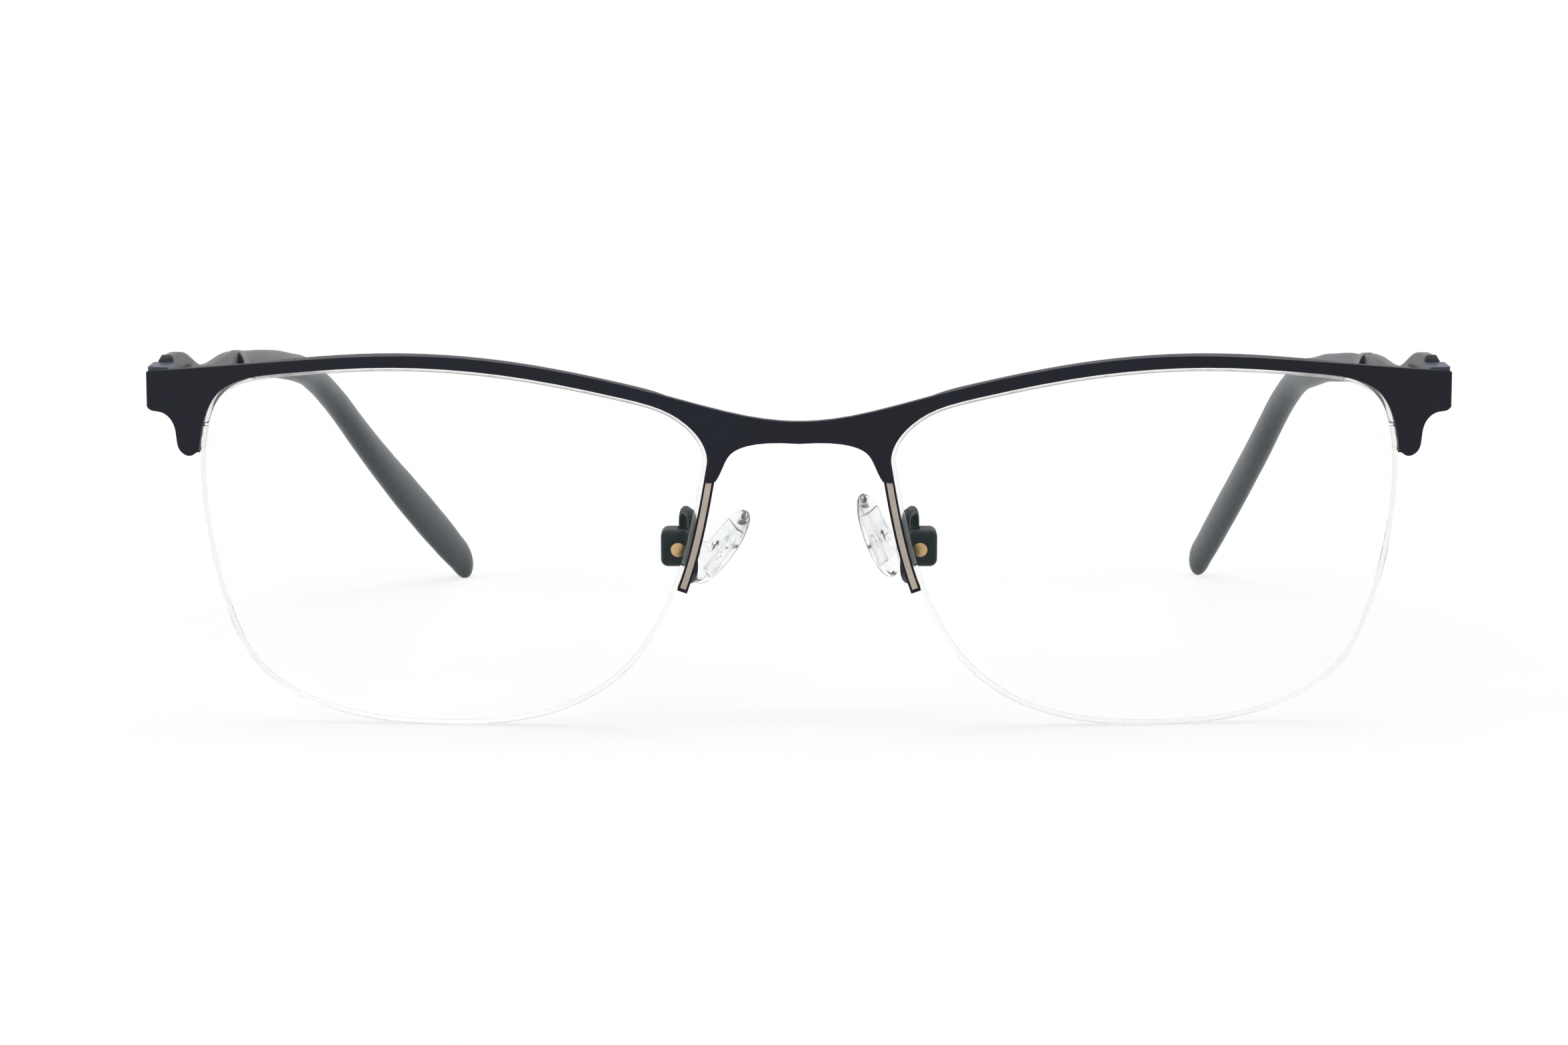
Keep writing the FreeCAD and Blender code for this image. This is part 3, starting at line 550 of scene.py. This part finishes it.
# %% Temple set
TEMPLE_SET = [
    (-6, 0.0, 1.0, 1.0), (8, 0.0, 1.0, 1.0), (16, 0.05, 0.95, 1.0), (28, 1.2, 0.57, 0.95),
    (34, 1.6, 0.54, 0.72), (42, 1.65, 0.53, 0.72), (54, 1.7, 0.54, 0.78), (63, 1.45, 0.57, 0.86),
    (71, 0.95, 0.62, 0.95), (80, 0.6, 0.72, 1.0), (88, 0.3, 0.86, 1.0), (96, 0.1, 0.95, 1.0),
]
PADDLE = {
    "right": [(105, 0.2, 1.12, 1.0), (114, 0.5, 1.26, 1.0), (121, 0.5, 1.20, 1.0), (132, 0.1, 1.0, 1.0)],
    "left": [(105, 0.1, 1.02, 1.0), (116, 0.2, 1.08, 1.0), (132, 0.1, 1.0, 1.0)],
}


def set_at(table, along):
    """Lift, share of height and share of thickness at a distance behind the hinge."""
    for before, after in zip(table, table[1:]):
        if along <= after[0]:
            share = (along - before[0]) / (after[0] - before[0])
            return [first + (second - first) * share for first, second in zip(before[1:], after[1:])]
    return table[-1][1:]


print("temple set:", len(TEMPLE_SET), "places")

# %% [markdown]
# The height and the thickness are scaled about the temple's own middle, which runs down and inwards
# behind the ear. Copying that line by hand would go wrong when the CAD changes, so it is measured: an
# upright plane cuts the mesh edges at each row of the cage, and the middle of that cut is the middle of
# the temple.

# %% Temple middle


def edge_ends(pieces):
    """Both ends of every mesh edge of some pieces."""
    ends = []
    for mesh in (piece.data for piece in pieces):
        ends += [[mesh.vertices[index].co for index in edge.vertices] for edge in mesh.edges]
    return ends


def middle_at(edges, y):
    """Middle of the cut that an upright plane makes through the temple at one distance."""
    cut = []
    for first, second in edges:
        if (first.y - y) * (second.y - y) < 0:
            cut.append(first.lerp(second, (y - first.y) / (second.y - first.y)))
    across = [point.x for point in cut]
    upright = [point.z for point in cut]
    return (min(across) + max(across)) / 2, (min(upright) + max(upright)) / 2


print("the temple's middle is measured by cuts")

# %% [markdown]
# Now the cage itself. A lattice has one row of points per step along its length, and Blender spaces those
# rows one unit apart, so the object's scale sets their real distance. Between two rows it blends smoothly
# along the temple and evenly across it. It rides on the temple, so the set stays with the piece when the
# temple folds.

# %% Temple cages
CAGE_START, CAGE_END, CAGE_ROWS = -6.0 * MM, 132.0 * MM, 28
CAGE_HALF_WIDTH, CAGE_BOTTOM, CAGE_TOP = 25.0 * MM, -5.0 * MM, 45.0 * MM
FRONT_MARGIN, BACK_MARGIN = 1.0 * MM, 2.0 * MM     # no cut is made nearer to the temple's ends
ROW_DIGITS = 5                                     # rounding puts the four corners of a row together
TEMPLE_PIECES = ("temple_arm", "tip_collar", "temple_core", "temple_tip")
joint_places = {joint["child"]: joint["pos_m"] for joint in frame["record"]["behaviour"]["joints"]}


def temple_cage(side):
    """A plain lattice round one temple, from just before its hinge to just behind its end."""
    data = bpy.data.lattices.new("temple cage " + side)
    data.points_u, data.points_v, data.points_w = 2, CAGE_ROWS, 2
    data.interpolation_type_u = data.interpolation_type_w = "KEY_LINEAR"
    data.interpolation_type_v = "KEY_CATMULL_ROM"
    cage = bpy.data.objects.new("temple_cage_" + side, data)
    hinge_x, hinge_y, _ = joint_places["temple_" + side]
    start, end = hinge_y + CAGE_START, hinge_y + CAGE_END
    cage.location = (hinge_x, (start + end) / 2, (CAGE_BOTTOM + CAGE_TOP) / 2)
    cage.scale = (2 * CAGE_HALF_WIDTH, (end - start) / (CAGE_ROWS - 1), CAGE_TOP - CAGE_BOTTOM)
    scene.collection.objects.link(cage)
    return cage


def shape_cage(cage, side, edges):
    """Raises each row of the cage and scales it about the temple's middle."""
    hinge_y = joint_places["temple_" + side][1]
    first_y = min(point.y for edge in edges for point in edge) + FRONT_MARGIN
    last_y = max(point.y for edge in edges for point in edge) - BACK_MARGIN
    rows = {}
    for corner in cage.data.points:
        rows.setdefault(round(corner.co.y, ROW_DIGITS), []).append(corner)
    for row, corners in rows.items():
        y = cage.location.y + row * cage.scale.y
        lift, height_share, thickness_share = set_at(TEMPLE_SET + PADDLE[side], (y - hinge_y) / MM)
        middle_x, middle_z = middle_at(edges, min(max(y, first_y), last_y))
        for corner in corners:
            x = cage.location.x + corner.co.x * cage.scale.x
            z = cage.location.z + corner.co.z * cage.scale.z
            x = middle_x + (x - middle_x) * thickness_share
            z = middle_z + (z - middle_z) * height_share + lift * MM
            corner.co_deform.x = (x - cage.location.x) / cage.scale.x
            corner.co_deform.z = (z - cage.location.z) / cage.scale.z


for side in SIDES:
    pieces = [nodes[piece + "_" + side] for piece in TEMPLE_PIECES]
    cage = temple_cage(side)
    shape_cage(cage, side, edge_ends(pieces))
    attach(cage, "temple_" + side)
    for piece in pieces:
        piece.modifiers.new("temple set", "LATTICE").object = cage
    print(cage.name, len(cage.data.points), "points around", len(pieces), "pieces")

# %% [markdown]
# Stamped and milled parts never have knife edges: tumbling breaks them, and the lacquer rounds them
# further. The broken edge is what draws the thin light line along a real frame. CAD edges are sharp, so
# each node gets modifiers: a weld joins the faces, a bevel rounds every sharp edge, and even shading
# keeps flat faces flat.

# %% Broken edges


def smooth_faces():
    """A modifier's node tree that shades every face smoothly."""
    group = bpy.data.node_groups.new("Smooth Faces", "GeometryNodeTree")
    group.interface.new_socket(name="Geometry", in_out="INPUT", socket_type="NodeSocketGeometry")
    group.interface.new_socket(name="Geometry", in_out="OUTPUT", socket_type="NodeSocketGeometry")
    shade = add(group, "GeometryNodeSetShadeSmooth")
    group.links.new(add(group, "NodeGroupInput").outputs[0], shade.inputs["Geometry"])
    group.links.new(shade.outputs[0], add(group, "NodeGroupOutput").inputs[0])
    return group


SMOOTH_FACES = smooth_faces()
WELD_DISTANCE = 0.002 * MM
EDGE_SEGMENTS = 3
SHARP_ANGLE = 30.0


def break_edges(piece, width):
    weld = piece.modifiers.new("weld", "WELD")
    weld.merge_threshold = WELD_DISTANCE
    bevel = piece.modifiers.new("broken edges", "BEVEL")
    bevel.width = width
    bevel.segments = EDGE_SEGMENTS
    bevel.limit_method = "ANGLE"
    bevel.angle_limit = math.radians(SHARP_ANGLE)
    bevel.miter_outer = "MITER_ARC"
    piece.modifiers.new("smooth faces", "NODES").node_group = SMOOTH_FACES
    even = piece.modifiers.new("even shading", "WEIGHTED_NORMAL")
    even.weight = 60


EDGE_WIDTHS = {
    "front_plate": 0.10, "rim_rail": 0.10, "rim_trim": 0.07, "rim_liner": 0.08, "nylon_cord": 0.17,
    "hinge_block": 0.22, "temple_knuckle": 0.12, "temple_arm": 0.14, "tip_collar": 0.22, "pad_core": 0.14,
    "pad_box": 0.10, "pad_arm": 0.08, "pad_screw": 0.14, "hinge_screw": 0.08,
}
for name, node in nodes.items():
    piece = name.rsplit("_", 1)[0] if name.endswith(SIDES) else name
    if piece in EDGE_WIDTHS:
        break_edges(node, EDGE_WIDTHS[piece] * MM)
print("edges broken on", len(EDGE_WIDTHS), "kinds of piece")

# %% [markdown]
# A nose pad is a soft moulded cushion: an oval that is full in the middle, thins to a round lip and is a
# little broader at its lower end. The CAD node gives its middle, and the two turns give its lean on each
# side of the nose. The mesh starts as a cube cut into a fine grid and blown up into a ball, whose quads
# are even all over, and each of its points is then pressed to the cushion's form. The node stays behind
# for collisions.

# %% Nose pads
PAD_THICKNESS = 1.9 * MM
PAD_WIDTH = 6.0 * MM
PAD_LENGTH = 9.8 * MM
PAD_CROWN = 0.72             # under 1, the faces are fuller than a ball's
PAD_TAPER = 0.10             # the top is this much narrower than the middle
PAD_GRID = 11
FRONT_TILT = 5.0
PAD_SPLAY = 22.0
PAD_LEAN = {"right": 38.0, "left": 22.0}


def cushion(name):
    """A crowned oval, thin along X, wide along Y and long along Z."""
    form = bmesh.new()
    bmesh.ops.create_cube(form, size=2.0)
    bmesh.ops.subdivide_edges(form, edges=form.edges[:], cuts=PAD_GRID, use_grid_fill=True)
    for point in form.verts:
        x, y, z = point.co.normalized()
        crown = math.copysign(abs(x) ** PAD_CROWN, x)
        point.co = (crown * PAD_THICKNESS / 2, y * (1 - PAD_TAPER * z) * PAD_WIDTH / 2, z * PAD_LENGTH / 2)
    mesh = bpy.data.meshes.new(name)
    form.to_mesh(mesh)
    form.free()
    mesh.shade_smooth()
    return mesh


print("cushion", PAD_LENGTH / MM, "mm long")

# %% [markdown]
# Both pads come from the same mesh. It is turned by the splay, the lean and the tilt of the front,
# mirrored for the right side, and moved to the middle of its CAD node. Mirroring turns a mesh inside out,
# so its faces are flipped back. Each pad rides on its own body, because it rocks on its screw.

# %% Placed pads


def axis_turn(degrees, axis):
    return Matrix.Rotation(math.radians(degrees), 4, axis)


for side in SIDES:
    node_name = "nose_pad_" + side
    low, high = (Vector(corner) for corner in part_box(node_name))
    lean = axis_turn(FRONT_TILT, "X") @ axis_turn(-PAD_LEAN[side], "Y") @ axis_turn(-PAD_SPLAY, "Z")
    mirror = Matrix.Scale(-1 if side == "right" else 1, 4, (1, 0, 0))
    mesh = cushion("pad cushion " + side)
    mesh.transform(Matrix.Translation((low + high) / 2) @ mirror @ lean)
    if side == "right":
        mesh.flip_normals()
    mesh.materials.append(MATERIALS["pad_silicone"])
    pad = bpy.data.objects.new("pad_cushion_" + side, mesh)
    scene.collection.objects.link(pad)
    pad.modifiers.new("smooth form", "SUBSURF").render_levels = 1
    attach(pad, "pad_" + side)
    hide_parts(node_name)
    print(pad.name, "from", len(mesh.polygons), "faces")
